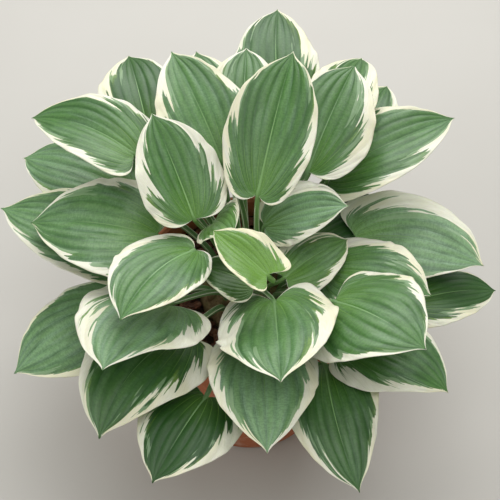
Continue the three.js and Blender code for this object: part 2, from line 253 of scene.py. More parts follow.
def potting_soil():
    """Damp composted peat: nearly black brown, with lighter fibres and a few pale grains of sand."""
    material = new_material("potting soil")
    place = add_node(material, "ShaderNodeTexCoord").outputs["Object"]
    crumbs = add_node(material, "ShaderNodeTexNoise", {"Vector": place, "Scale": 1 / (5 * MM), "Detail": 8})
    grains = add_node(material, "ShaderNodeTexVoronoi", {"Vector": place, "Scale": 1 / (2.5 * MM)})
    damp = add_node(
        material, "ShaderNodeMix",
        {0: crumbs.outputs[0], 6: linear("#1d130d"), 7: linear("#4a3526")}, data_type="RGBA",
    )
    pale = add_node(material, "ShaderNodeMapRange", {0: grains.outputs[0], 1: 0.16, 2: 0.1, 4: 0.5})
    colour = add_node(
        material, "ShaderNodeMix",
        {0: pale.outputs[0], 6: damp.outputs[2], 7: linear("#7d6a55")}, data_type="RGBA",
    )
    bump = add_node(
        material, "ShaderNodeBump", {"Height": crumbs.outputs[0], "Strength": 1, "Distance": 2 * MM}
    )
    return finish_material(
        material, {"Base Color": colour.outputs[2], "Roughness": 0.95, "Normal": bump.outputs[0]}
    )


def soil():
    floor = POT_FLOOR + SEAT_GAP
    wall = inner_radius_at(SOIL_TOP) - SEAT_GAP
    profile = [(0, floor), (inner_radius_at(floor) - SEAT_GAP, floor), (wall, SOIL_TOP - 2)]
    for i in range(SOIL_RINGS + 1):
        profile.append((wall * (1 - i / SOIL_RINGS), SOIL_TOP - 1))
    bm = turned(profile, POT_STEPS)
    for v in bm.verts:
        radius = math.hypot(v.co.x, v.co.y) / MM
        if v.co.z / MM > SOIL_TOP - 3 and radius < wall - 1:
            v.co.z += SOIL_LUMP_HEIGHT * MM * noise.fractal(v.co / (SOIL_LUMP_SIZE * MM), 1, 2, 3)
    new_piece("potting_soil", bm, [potting_soil()], "soil")


soil()

# --------------------------------------------------------------------------------------------
# Shredded bark lies loose on the soil round the crown: flat, split chips of red-brown pine bark,
# 7 to 34 mm long, thrown on in three layers.
# --------------------------------------------------------------------------------------------
MULCH_INNER = CROWN_RADIUS + 5
MULCH_OUTER = inner_radius_at(SOIL_TOP) - 3
CHIPS = 620
CHIP_SEED = 11
CHIP_LAYERS = 3
CHIP_LAYER_HEIGHT = 3.2
CHIP_LENGTHS = (10, 34)
CHIP_WIDTHS = (4, 11)
CHIP_THICKNESSES = (1.6, 3.6)
CHIP_TAPER = 0.55
CHIP_JOLT = 0.22
CHIP_TILT = 0.16
CHIP_ROLL = 0.2
GRAIN_LENGTH = 18
GRAIN_WIDTH = 1.6


def bark():
    """Pine bark: red-brown split faces with dark grain along each chip, and greyer weathered ones."""
    material = new_material("pine bark")
    place = add_node(material, "ShaderNodeTexCoord").outputs["Object"]
    along = add_node(material, "ShaderNodeUVMap", uv_map="grain").outputs[0]
    tone = add_node(material, "ShaderNodeAttribute", attribute_name="chip_tone").outputs["Fac"]
    fibres = add_node(
        material, "ShaderNodeTexNoise", {"Vector": along, "Scale": 1, "Detail": 6, "Roughness": 0.7}
    )
    patches = add_node(material, "ShaderNodeTexNoise", {"Vector": place, "Scale": 1 / (8 * MM), "Detail": 4})
    red = add_node(
        material, "ShaderNodeMix", {0: tone, 6: linear("#5f2f1c"), 7: linear("#b56f4a")}, data_type="RGBA"
    )
    split = add_node(material, "ShaderNodeMapRange", {0: fibres.outputs[0], 1: 0.38, 2: 0.62, 4: 0.75})
    grain = add_node(
        material, "ShaderNodeMix",
        {0: split.outputs[0], 6: linear("#341a11"), 7: red.outputs[2]}, data_type="RGBA",
    )
    worn = add_node(material, "ShaderNodeMapRange", {0: patches.outputs[0], 1: 0.52, 2: 0.7, 4: 0.45})
    colour = add_node(
        material, "ShaderNodeMix",
        {0: worn.outputs[0], 6: grain.outputs[2], 7: linear("#a5826a")}, data_type="RGBA",
    )
    bump = add_node(
        material, "ShaderNodeBump", {"Height": fibres.outputs[0], "Strength": 0.8, "Distance": MM}
    )
    return finish_material(
        material, {"Base Color": colour.outputs[2], "Roughness": 0.85, "Normal": bump.outputs[0]}
    )


def bark_chips():
    """Copies one squared chip, and roughens, tapers, tilts and lays each copy on the soil."""
    draw = random.Random(CHIP_SEED)
    # noise_vector is shifted by Blender's own seed, which otherwise comes from the clock
    noise.seed_set(CHIP_SEED)
    bm = bmesh.new()
    grain = bm.loops.layers.uv.new("grain")
    tone = bm.verts.layers.float.new("chip_tone")
    bmesh.ops.create_cube(bm, size=1)
    long_edges = [e for e in bm.edges if abs(e.verts[0].co.x - e.verts[1].co.x) > 0.5]
    bmesh.ops.subdivide_edges(bm, edges=long_edges, cuts=3)
    pattern = bm.verts[:] + bm.edges[:] + bm.faces[:]
    for i in range(CHIPS):
        length = draw.uniform(*CHIP_LENGTHS) * draw.uniform(0.7, 1)
        width = draw.uniform(*CHIP_WIDTHS)
        thick = draw.uniform(*CHIP_THICKNESSES)
        shade = draw.random() ** 1.4
        copy = bmesh.ops.duplicate(bm, geom=pattern)["geom"]
        chip = [item for item in copy if isinstance(item, bmesh.types.BMVert)]
        for face in (item for item in copy if isinstance(item, bmesh.types.BMFace)):
            for loop in face.loops:
                x, y, z = loop.vert.co
                loop[grain].uv = (x * length / GRAIN_LENGTH + i, (y + z) * width / GRAIN_WIDTH)
        for v in chip:
            v[tone] = shade
            taper = 1 - CHIP_TAPER * abs(2 * v.co.x) ** 3
            jolt = noise.noise_vector(v.co * 2.3 + Vector((i * 3.7, 0, 0))) * CHIP_JOLT
            v.co = Vector((v.co.x + jolt.x * 0.3, (v.co.y + jolt.y) * taper, (v.co.z + jolt.z) * taper))
        ring = math.sqrt(draw.uniform(MULCH_INNER**2, MULCH_OUTER**2))
        turn = draw.uniform(0, math.tau)
        height = SOIL_TOP + thick / 2 + 1 + CHIP_LAYER_HEIGHT * (i % CHIP_LAYERS)
        tilt = Matrix.Rotation(draw.gauss(0, CHIP_TILT), 4, "Y")
        roll = Matrix.Rotation(draw.gauss(0, CHIP_ROLL), 4, "X")
        spin = Matrix.Rotation(draw.uniform(0, math.tau), 4, "Z")
        reach = min(ring, MULCH_OUTER - 0.45 * length)
        place = Vector((reach * math.cos(turn), reach * math.sin(turn), height)) * MM
        size = Matrix.Diagonal((length * MM, width * MM, thick * MM, 1))
        bmesh.ops.transform(bm, matrix=Matrix.Translation(place) @ spin @ (tilt @ roll) @ size, verts=chip)
    corners = [item for item in pattern if isinstance(item, bmesh.types.BMVert)]
    bmesh.ops.delete(bm, geom=corners, context="VERTS")
    chips = new_piece("bark_chips", bm, [bark()], "bark_mulch")
    chips.data.shade_flat()


bark_chips()

# --------------------------------------------------------------------------------------------
# The leaves and the crown they grow from. A leaf is one piece: a heart-shaped blade, the midrib
# under it, and a grooved stalk that stands in its own hole in the crown.
# Each leaf, in mm from the crown's middle at soil level: base is where the stalk meets the
# blade, tip the blade's point, width its full width, and socket the ring radius and bearing of
# its place on the crown. arch is how far the midrib bows up, bow how far it bends to the right,
# roll how many degrees the blade leans, fold how steep its V is, lobe how far the lobes reach
# back, lift how much they rise, widest how far along the blade is widest, and sway how far the
# stalk bends aside. cream is how much of the left and right half the pale margin takes, tone how
# light the green is, partly the leaf's own green and partly painted light and shade for how lit
# the leaf is in its place, young how yellow the leaf still is, and frill how wavy its edge is.
# --------------------------------------------------------------------------------------------
LEAVES = [
    # the youngest leaves, in the middle
    dict(name="young_cupped", base=(20, -100, 180), tip=(-45, -40, 190), width=68, socket=(12, 285),
         arch=4, fold=0.45, lobe=1.3, sway=(0, 10, 0), cream=(0.1, 0.24), tone=0.3, young=0.4),
    dict(name="young_curled", base=(-45, 10, 145), tip=(-20, -30, 170), width=75, socket=(14, 150),
         arch=6, roll=25, fold=0.3, lobe=0.3, sway=(4, 0, 0), cream=(0.14, 0.14), tone=0.6, young=0.2),
    dict(name="small_dark", base=(5, -75, 125), tip=(-65, -45, 125), width=70, socket=(14, 220),
         arch=6, lobe=0.5, cream=(0.1, 0.1), tone=0, young=0.1),
    # the tall leaves round them
    dict(name="tall_centre", base=(10, 15, 195), tip=(55, 175, 285), width=115, socket=(12, 10),
         fold=0.4, lobe=0.6, widest=0.4, cream=(0.13, 0.13), tone=0.5),
    dict(name="tall_left", base=(-35, 75, 185), tip=(-105, 230, 235), width=130, socket=(27, 110),
         arch=10, fold=0.3, sway=(12, 10, 0), cream=(0.24, 0.15), tone=0.55),
    dict(name="tall_right", base=(75, 75, 170), tip=(140, 220, 220), width=130, socket=(41, 58),
         arch=10, fold=0.25, lobe=0.4, widest=0.36, sway=(0, 15, 0), cream=(0.08, 0.3), tone=0.42),
    dict(name="left_upright", base=(-70, -5, 170), tip=(-125, 115, 235), width=112, socket=(27, 175),
         arch=6, fold=0.4, lobe=0.4, widest=0.34, sway=(-10, 34, 0), cream=(0.24, 0.2), tone=0.45),
    dict(name="right_upright", base=(20, 25, 120), tip=(125, 20, 165), width=88, socket=(27, 20),
         arch=8, bow=-4, roll=16, lobe=0.4, widest=0.36, cream=(0.3, 0.14), tone=1),
    dict(name="left_arched", base=(-70, -40, 150), tip=(-150, -170, 185), width=110, socket=(27, 215),
         bow=8, lobe=0.6, widest=0.42, sway=(-22, 6, 0), cream=(0.14, 0.14), tone=0.55),
    dict(name="front_heart", base=(30, -90, 110), tip=(35, -240, 165), width=150, socket=(27, 285),
         arch=8, roll=10, fold=0.15, lobe=1.4, lift=0.15, widest=0.36, frill=1, cream=(0.24, 0.24),
         tone=0.55),
    # the leaves at the back
    dict(name="back_middle", base=(-10, 125, 175), tip=(-5, 270, 205), width=115, socket=(41, 96),
         cream=(0.3, 0.22), tone=0.4),
    dict(name="back_high", base=(40, 210, 155), tip=(40, 380, 180), width=124, socket=(54, 78),
         arch=14, bow=-4, fold=0.15, cream=(0.1, 0.26), tone=0.18),
    dict(name="back_left_inner", base=(-45, 140, 155), tip=(-75, 285, 185), width=110,
         socket=(41, 116), cream=(0.25, 0.2), tone=0.4),
    dict(name="back_left", base=(-140, 180, 135), tip=(-175, 320, 145), width=125,
         socket=(54, 126), cream=(0.3, 0.1), tone=0.15),
    dict(name="back_right", base=(105, 150, 175), tip=(160, 310, 150), width=100, socket=(54, 64),
         arch=14, cream=(0.3, 0.3), tone=0.4),
    dict(name="back_right_low", base=(140, 175, 100), tip=(200, 300, 105), width=100,
         socket=(54, 44), cream=(0.3, 0.2), tone=0.3),
    # the leaves on the left
    dict(name="left_high", base=(-150, 95, 180), tip=(-295, 175, 165), width=114, socket=(41, 142),
         arch=16, bow=5, fold=0.35, sway=(-8, 20, -10), cream=(0.14, 0.12), tone=0.45),
    dict(name="left_under", base=(-170, 115, 90), tip=(-320, 180, 80), width=140, socket=(54, 146),
         cream=(0.12, 0.08), tone=0.85),
    dict(name="left_far", base=(-145, 10, 90), tip=(-335, 75, 95), width=145, socket=(54, 168),
         bow=-4, cream=(0.12, 0.16), tone=0.75),
    dict(name="left_large", base=(-120, 0, 130), tip=(-285, 25, 125), width=165, socket=(41, 183),
         arch=14, cream=(0.12, 0.18), tone=0.62),
    # the leaves at the front
    dict(name="front_left", base=(-105, -90, 105), tip=(-170, -215, 150), width=165,
         socket=(41, 222), arch=8, bow=10, roll=8, fold=0.15, frill=0.6, cream=(0.2, 0.34), tone=0.95),
    dict(name="front_left_far", base=(-165, -60, 45), tip=(-300, -145, 30), width=145,
         socket=(54, 196), arch=14, fold=0.1, cream=(0.18, 0.06), tone=0.85),
    dict(name="front_left_low", base=(-90, -110, 65), tip=(-180, -255, 60), width=150,
         socket=(54, 232), arch=14, bow=14, cream=(0.28, 0.18), tone=0.25),
    dict(name="front_lowest", base=(-55, -185, 40), tip=(-115, -305, 45), width=130,
         socket=(54, 254), arch=10, fold=0.15, cream=(0.22, 0.2), tone=0.0),
    dict(name="front_middle", base=(15, -135, 80), tip=(20, -290, 90), width=136, socket=(41, 272),
         fold=0.15, cream=(0.2, 0.22), tone=1),
    dict(name="front_right_low", base=(95, -145, 50), tip=(130, -310, 30), width=120,
         socket=(54, 296), arch=14, bow=8, fold=0.1, cream=(0.1, 0.2), tone=0.25),
    # the leaves on the right
    dict(name="right_front", base=(105, -90, 110), tip=(205, -190, 155), width=165,
         socket=(41, 318), arch=14, roll=4, fold=0.05, cream=(0.13, 0.16), tone=0.5),
    dict(name="right_front_low", base=(125, -120, 60), tip=(245, -185, 50), width=125,
         socket=(54, 318), arch=14, bow=-7, cream=(0.1, 0.28), tone=0.5),
    dict(name="right_middle", base=(110, -15, 75), tip=(230, -70, 95), width=125, socket=(41, 340),
         bow=-4, fold=0.15, cream=(0.3, 0.1), tone=0.55),
    dict(name="right_large", base=(145, 50, 60), tip=(310, 0, 65), width=150, socket=(41, 8),
         bow=-14, roll=8, fold=0.1, cream=(0.36, 0.1), tone=1),
    dict(name="right_far", base=(215, -35, 35), tip=(335, 0, 10), width=95, socket=(54, 345),
         arch=10, fold=0.15, cream=(0.06, 0.22), tone=0.1),
    dict(name="right_inner", base=(45, -40, 95), tip=(130, 30, 85), width=90, socket=(27, 325),
         arch=8, cream=(0.3, 0.16), tone=0.5, young=0.1),
    dict(name="right_back", base=(110, 115, 120), tip=(280, 190, 150), width=130, socket=(41, 40),
         arch=14, bow=4, fold=0.3, cream=(0.14, 0.2), tone=0.5),
    dict(name="right_dark", base=(75, 65, 45), tip=(185, 145, 35), width=105, socket=(54, 22),
         arch=10, cream=(0.08, 0.1), tone=0),
    # the low leaves at the back, under the others
    dict(name="back_low_1", base=(-100, 165, 55), tip=(-165, 285, 30), width=105, socket=(60, 116),
         arch=14, fold=0.15, cream=(0.2, 0.2), tone=0.2),
    dict(name="back_low_2", base=(-25, 195, 60), tip=(-30, 335, 40), width=110, socket=(54, 106),
         arch=14, fold=0.15, cream=(0.2, 0.2), tone=0.2),
    dict(name="back_low_3", base=(85, 180, 50), tip=(110, 315, 30), width=105, socket=(54, 93),
         arch=14, fold=0.15, cream=(0.2, 0.2), tone=0.2),
]
USUAL = dict(
    arch=12, bow=0, roll=0, fold=0.2, lobe=0.9, lift=0.3, widest=0.3, sway=(0, 0, 0), young=0, frill=0.45
)
# how the blade is shaped and creased, and how its edge waves
EDGE_DROOP = 0.2
MARGIN_WAVE = 3
WAVES_ALONG = 10
TIP_TAPER = 0.9
POINT_SHARE = 0.08
POINT_WAIST = 0.6
LOBE_TAPER = 6
VEINS_A_SIDE = 10
VEIN_FAN = 2.4
RIB_HEIGHT = 0.09
FRILLS_ALONG = 4
FRILL_HEIGHT = 2.2
FRILL_WIDTH = 0.03
# how the stalk rises from the crown and meets the blade, and the crown that it stands in
STALK_BASE_RADIUS = 4.6
STALK_TOP_RADIUS = 3.2
COLLAR_HEIGHT = 4
STALK_RISE = 0.35
STALK_ARRIVAL = 0.3
SOCKET_DEPTH = 9
CROWN_ABOVE_SOIL = 26
CROWN_BELOW_SOIL = 34
CROWN_SHOULDER = 6


class Curve:
    """A Bezier curve through two end points, with one or two points that pull it, in mm."""

    def __init__(self, *points):
        self.points = points

    def at(self, s):
        points = self.points
        while len(points) > 1:
            points = [a.lerp(b, s) for a, b in zip(points, points[1:])]
        return points[0]

    def ahead(self, s):
        points = [b - a for a, b in zip(self.points, self.points[1:])]
        while len(points) > 1:
            points = [a.lerp(b, s) for a, b in zip(points, points[1:])]
        return points[0].normalized()

    def length(self, steps=40):
        stops = [self.at(i / steps) for i in range(steps + 1)]
        return sum((b - a).length for a, b in zip(stops, stops[1:]))


def crown_top_at(radius):
    """The height of the crown's dome above the soil, in mm."""
    return CROWN_ABOVE_SOIL * math.sqrt(max(0, 1 - (radius / (CROWN_RADIUS + CROWN_SHOULDER)) ** 2))


def midrib_of(leaf):
    """The line of the blade's midrib, from the stalk to the tip."""
    base, tip = Vector(leaf["base"]), Vector(leaf["tip"])
    chord = tip - base
    right = chord.cross(UP).normalized()
    above = right.cross(chord).normalized()
    return Curve(base, (base + tip) / 2 + above * 2 * leaf["arch"] + right * 2 * leaf["bow"], tip)


def margin_across(leaf, u):
    """Half the blade's width at u, as a share of its widest: round shoulders and a drawn-out point."""
    widest = leaf["widest"]
    base_taper = TIP_TAPER * widest / (1 - widest)
    point = 1 - POINT_WAIST * math.exp(-(((1 - u) / POINT_SHARE) ** 2))
    return ((1 - u) / (1 - widest)) ** TIP_TAPER * (u / widest) ** base_taper * point


def blade_frame(leaf, midrib, s):
    """The blade's right and upward direction at the share s of its midrib."""
    ahead = midrib.ahead(s)
    right = ahead.cross(UP).normalized()
    right.rotate(Matrix.Rotation(math.radians(leaf["roll"]), 3, ahead))
    return right, right.cross(ahead).normalized()


def blade_point(leaf, midrib, length, u, t):
    """A point of the blade: u runs from stalk to tip along a vein, t from the left margin to the right."""
    margin = u - leaf["lobe"] * math.sqrt(u) * (1 - u) ** LOBE_TAPER
    along = u + (margin - u) * abs(t)
    s = max(along, 0)
    point = midrib.at(s) + midrib.ahead(0) * min(along, 0) * length
    right, above = blade_frame(leaf, midrib, s)
    swell = margin_across(leaf, u)
    frill = frill_at(leaf, u, t)
    across = swell * t * leaf["width"] / 2 * (1 + FRILL_WIDTH * frill)
    side = (t > 0) - (t < 0)
    height = (
        leaf["fold"] * abs(across)
        - EDGE_DROOP * across * across / (leaf["width"] / 2)
        + leaf["lift"] * max(-along, 0) * length
        + MARGIN_WAVE * swell * t * t * math.sin(leaf["base"][0] + WAVES_ALONG * u + 2 * side)
        + FRILL_HEIGHT * swell * frill
        + vein_relief(leaf, u, t, swell)
    )
    return point + right * across + above * height


def vein_at(u, t):
    """Which vein passes a point: the veins leave the stalk side by side and fan out to the margin."""
    return t / (1 + VEIN_FAN * u)


def vein_relief(leaf, u, t, swell):
    """The height of the blade's skin, which bulges between its sunken veins."""
    spacing = swell * leaf["width"] / 2 / VEINS_A_SIDE * (1 + VEIN_FAN * u)
    bulge = abs(math.sin(math.pi * VEINS_A_SIDE * vein_at(u, t))) ** 0.8
    uneven = 0.8 + 0.7 * noise.noise(Vector((leaf["tip"][0], 4 * t, 3 * u)))
    return RIB_HEIGHT * spacing * bulge * uneven * min(1, 6 * (1 - u))


def frill_at(leaf, u, t):
    """The margin's small waves, between -1 and 1, uneven along the leaf and different on each side."""
    side = (t > 0) - (t < 0)
    shift = noise.noise(Vector((leaf["tip"][0], 4 * u, 3 * side)))
    wave = math.sin(math.tau * (FRILLS_ALONG * u + shift) + leaf["tip"][1])
    return leaf["frill"] * abs(t) ** 4 * min(1, 8 * u) * wave


# the tears in the pale margin: how many a leaf has across and along it, their detail and depth
MARGIN_TEARS = [(9, 1.6, 0, 0.35), (27, 2.4, 1, 0.42), (90, 7, 2, 0.12)]


def streaks(material, place, drift, across, along, detail):
    """Noise drawn out along the veins, with this many features across and along a leaf."""
    spot = add_node(
        material, "ShaderNodeVectorMath",
        {0: place, 1: (across, along, 0), 2: drift}, operation="MULTIPLY_ADD",
    )
    return add_node(
        material, "ShaderNodeTexNoise",
        {"Vector": spot.outputs[0], "Scale": 1, "Detail": detail, "Roughness": 0.6},
    ).outputs[0]


def leaf_surface(under):
    """A hosta leaf: waxy blue-green, partly painted sheen, yellower at the stalk, with a torn cream margin
    along the veins.
    """
    material = new_material("leaf underside" if under else "leaf upper side")
    math_node = "ShaderNodeMath"
    fade = "ShaderNodeMapRange"
    multiply = dict(operation="MULTIPLY")
    multiply_add = dict(operation="MULTIPLY_ADD")
    smooth = dict(interpolation_type="SMOOTHSTEP")
    place = add_node(material, "ShaderNodeUVMap", uv_map="leaf").outputs[0]
    vein, along, _ = add_node(material, "ShaderNodeSeparateXYZ", {0: place}).outputs
    cream, margin, seed, tone, young = (
        add_node(material, "ShaderNodeAttribute", attribute_name=name).outputs["Fac"]
        for name in ("cream", "margin", "seed", "tone", "young")
    )
    drift = add_node(material, "ShaderNodeCombineXYZ", {2: seed}).outputs[0]
    clouds = streaks(material, place, drift, 6, 2.4, 3)
    fine = streaks(material, place, drift, 120, 20, 2)

    # the pale margin is calm on the lobes and torn along the veins towards the tip
    torn = add_node(material, fade, {0: along, 1: 0, 2: 0.25, 3: 0.2, 4: 1}, **smooth).outputs[0]
    border = cream
    for across, length, detail, depth in MARGIN_TEARS:
        tear = streaks(material, place, drift, across, length, detail)
        tear = add_node(material, fade, {0: tear, 1: 0.3, 2: 0.7, 3: -depth, 4: depth}, **smooth).outputs[0]
        border = add_node(material, math_node, {0: tear, 1: torn, 2: border}, **multiply_add).outputs[0]
    tongue = streaks(material, place, drift, 19, 1.2, 0)
    tongue = add_node(material, fade, {0: tongue, 1: 0.64, 2: 0.72, 3: 0, 4: 1.1}, **smooth).outputs[0]
    outer = add_node(material, fade, {0: margin, 1: 0.45, 2: 0.7}, **smooth).outputs[0]
    reach = add_node(material, math_node, {0: torn, 1: outer}, **multiply).outputs[0]
    border = add_node(material, math_node, {0: tongue, 1: reach, 2: border}, **multiply_add).outputs[0]
    pale = add_node(material, fade, {0: border, 1: -0.04, 2: 0.04}, **smooth).outputs[0]
    rim = add_node(material, fade, {0: margin, 1: 0.965, 2: 0.98}, **smooth).outputs[0]
    pale = add_node(material, math_node, {0: pale, 1: rim}, operation="MAXIMUM").outputs[0]

    # beside it the pale layer thins out in grey-green patches, with yellow-green flecks
    patch = streaks(material, place, drift, 15, 2.6, 2)
    patch = add_node(material, fade, {0: patch, 1: 0.42, 2: 0.62, 3: -0.1, 4: 0.85}, **smooth).outputs[0]
    patch = add_node(material, math_node, {0: patch, 1: torn, 2: border}, **multiply_add).outputs[0]
    thin = add_node(material, fade, {0: patch, 1: -0.08, 2: 0.16, 4: 0.65}, **smooth).outputs[0]
    near = add_node(material, fade, {0: border, 1: -0.7, 2: -0.05}, **smooth).outputs[0]
    fleck = add_node(material, fade, {0: clouds, 1: 0.5, 2: 0.6, 4: 0.55}, **smooth).outputs[0]
    fleck = add_node(material, math_node, {0: near, 1: fleck}, **multiply).outputs[0]

    # the stalk's yellow-green runs out along the veins
    at_stalk = add_node(material, fade, {0: along, 1: 0, 2: 0.45, 3: 1, 4: 0}, **smooth).outputs[0]
    inner = add_node(material, fade, {0: margin, 1: 0, 2: 0.9, 3: 1, 4: 0}, **smooth).outputs[0]
    brighter = add_node(material, fade, {0: tone, 1: 0, 2: 1, 3: 0.3, 4: 0.6}, **smooth).outputs[0]
    glow = add_node(material, math_node, {0: at_stalk, 1: inner}, **multiply).outputs[0]
    glow = add_node(material, math_node, {0: glow, 1: brighter}, **multiply).outputs[0]

    # the lighter a leaf is, the lighter its green and the more of the blue-grey coat it has, partly
    # the waxy bloom and partly painted sheen; tone itself is partly painted light and shade
    depth = add_node(material, fade, {0: tone, 1: 0, 2: 1, 3: 0.08, 4: 0.76}).outputs[0]
    bloom = add_node(material, fade, {0: tone, 1: 0.5, 2: 1, 3: 0, 4: 0.35}).outputs[0]

    # sunken veins, light where they leave the stalk, and dark in patches farther out, partly in
    # their own darker green and partly as painted shade in their furrows
    veins = add_node(material, math_node, {0: vein, 1: VEINS_A_SIDE}, **multiply).outputs[0]
    from_vein = add_node(material, math_node, {0: veins, 1: 0.5}, operation="PINGPONG").outputs[0]
    line = add_node(material, fade, {0: from_vein, 1: 0.01, 2: 0.065, 3: 1, 4: 0}, **smooth).outputs[0]
    faint = add_node(material, fade, {0: clouds, 1: 0.4, 2: 0.6, 3: 0.08, 4: 0.3}, **smooth).outputs[0]
    vein_dark_and_furrow_shade = add_node(material, math_node, {0: line, 1: faint}, **multiply).outputs[0]
    lit = add_node(material, fade, {0: along, 1: 0.05, 2: 0.45, 3: 0.6, 4: 0}, **smooth).outputs[0]
    lit = add_node(material, math_node, {0: line, 1: lit}, **multiply).outputs[0]
    # painted highlight on the bulges between the veins, stronger on lighter leaves
    ridge_highlight = add_node(material, fade, {0: from_vein, 1: 0.1, 2: 0.4, 3: 0, 4: 0.35}, **smooth).outputs[0]
    ridge_highlight = add_node(material, math_node, {0: ridge_highlight, 1: depth}, **multiply).outputs[0]
    # pale blue-grey patches, more on lighter leaves: partly waxy dust, partly painted sheen
    dusty_wax_and_sheen = streaks(material, place, drift, 11, 2.8, 3)
    dusty_wax_and_sheen = add_node(material, fade, {0: dusty_wax_and_sheen, 1: 0.45, 2: 0.62, 3: 0, 4: 0.4}, **smooth).outputs[0]
    dusty_wax_and_sheen = add_node(material, math_node, {0: dusty_wax_and_sheen, 1: depth}, **multiply).outputs[0]

    # a net of veinlets between them, drawn coarser than it is so that it shows
    lengths = streaks(material, place, drift, 70, 50, 2)
    net = add_node(
        material, math_node, {0: lengths, 1: streaks(material, place, drift, 25, 90, 1)}, **multiply
    ).outputs[0]
    # painted shade in the hollows of the net, where its bump is low
    hollow_shade = add_node(material, fade, {0: net, 1: 0.17, 2: 0.31, 3: 0.24, 4: 0}, **smooth).outputs[0]

    # painted shade: darker green in cloudy patches, more of it towards the margin
    shade = add_node(material, math_node, {0: margin, 1: 0.22, 2: clouds}, **multiply_add).outputs[0]
    shade = add_node(material, fade, {0: shade, 1: 0.52, 2: 0.7, 3: 0, 4: 0.45}, **smooth).outputs[0]
    yellow = add_node(material, math_node, {0: young, 1: 1.2}, **multiply).outputs[0]
    colour = linear("#17400d")
    coats = [
        (depth, "#669a50"), (bloom, "#9db3a4"), (shade, "#1c461a"), (glow, "#68962c"), (yellow, "#7fae35"),
        (fleck, "#7c9a3c"), (dusty_wax_and_sheen, "#8fac93"), (ridge_highlight, "#7fa963"), (hollow_shade, "#1b3d1b"),
        (vein_dark_and_furrow_shade, "#1c4017"), (lit, "#8ab55a"), (thin, "#87a27c"),
    ]
    for share, coat in coats:
        colour = add_node(
            material, "ShaderNodeMix", {0: share, 6: colour, 7: linear(coat)}, data_type="RGBA"
        ).outputs[2]
    # the pale margin is nearly white, and creamier in patches and on young leaves
    white = add_node(
        material, "ShaderNodeMix", {0: fine, 6: linear("#cfcfb6"), 7: linear("#eceddf")}, data_type="RGBA"
    ).outputs[2]
    creamy = streaks(material, place, drift, 4, 1.5, 1)
    creamy = add_node(material, fade, {0: creamy, 1: 0.42, 2: 0.6, 3: 0, 4: 0.28}, **smooth).outputs[0]
    creamy = add_node(material, math_node, {0: young, 1: creamy}, operation="MAXIMUM").outputs[0]
    white = add_node(
        material, "ShaderNodeMix", {0: creamy, 6: white, 7: linear("#dcd59a")}, data_type="RGBA"
    ).outputs[2]
    colour = add_node(
        material, "ShaderNodeMix", {0: pale, 6: colour, 7: white}, data_type="RGBA"
    ).outputs[2]
    if under:
        colour = add_node(
            material, "ShaderNodeMix", {0: 0.45, 6: colour, 7: linear("#8fa888")}, data_type="RGBA"
        ).outputs[2]

    furrow = add_node(material, fade, {0: from_vein, 1: 0, 2: 0.3, 3: 0, 4: 0.6}, **smooth).outputs[0]
    height = add_node(material, math_node, {0: net, 1: 1.5, 2: furrow}, **multiply_add).outputs[0]
    bump = add_node(material, "ShaderNodeBump", {"Height": height, "Strength": 0.45, "Distance": 0.6 * MM})
    gloss = add_node(material, fade, {0: clouds, 1: 0.3, 2: 0.7, 3: 0.36, 4: 0.48}).outputs[0]
    return finish_material(
        material,
        {
            "Base Color": colour,
            "Roughness": 0.7 if under else gloss,
            "IOR": 1.45,
            "Subsurface Weight": 0.1,
            "Subsurface Radius": (0.6, 1.0, 0.3),
            "Subsurface Scale": 2 * MM,
            "Normal": bump.outputs[0],
        },
    )


BLADE_ROWS = 60
BLADE_STRIPS = 68
BLADE_THICKNESS = 0.5
ROW_CROWDING = 1.6


def cream_at(leaf, u, t):
    """How deep in the pale margin a point lies: 1 on the edge, 0 where the green starts, then negative.

    The margin is widest towards the leaf's middle, and takes a larger share where the leaf is narrow.
    """
    left, right = leaf["cream"]
    share = left if t < 0 else right
    narrow = max(margin_across(leaf, u), 0.02) ** 0.25
    reach = share * (0.7 + 0.3 * math.sin(math.pi * min(1, 1.2 * u))) / narrow
    return (abs(t) - 1) / reach + 1


def faces_of(verts):
    """Each face at these corners once, in the same order on every run."""
    return list(dict.fromkeys(f for v in verts if v.is_valid for f in v.link_faces))


def add_blade(bm, leaf, midrib, layers):
    """The blade: a grid laid along the veins, half a millimetre thick."""
    verts = bmesh.ops.create_grid(bm, x_segments=BLADE_STRIPS, y_segments=BLADE_ROWS, size=1)["verts"]
    length = midrib.length()
    for face in faces_of(verts):
        for loop in face.loops:
            t, row, _ = loop.vert.co
            u = max(0, (row + 1) / 2) ** ROW_CROWDING
            loop[layers["uv"]].uv = (vein_at(u, t), u)
    for v in verts:
        t = v.co.x
        u = min(1, max(0, (v.co.y + 1) / 2)) ** ROW_CROWDING
        v[layers["tone"]] = leaf["tone"]
        v[layers["cream"]] = cream_at(leaf, u, t)
        v[layers["margin"]] = abs(t)
        v.co = blade_point(leaf, midrib, length, u, t)
    bmesh.ops.remove_doubles(bm, verts=verts, dist=0.001)
    sheet = [v for v in verts if v.is_valid]
    faces = faces_of(sheet)
    bm.normal_update()
    below = [v.co - v.normal * BLADE_THICKNESS for v in sheet]
    bmesh.ops.extrude_face_region(bm, geom=faces, use_keep_orig=True)
    for v, place in zip(sheet, below):
        v.co = place
    for face in faces:
        face.material_index = 1


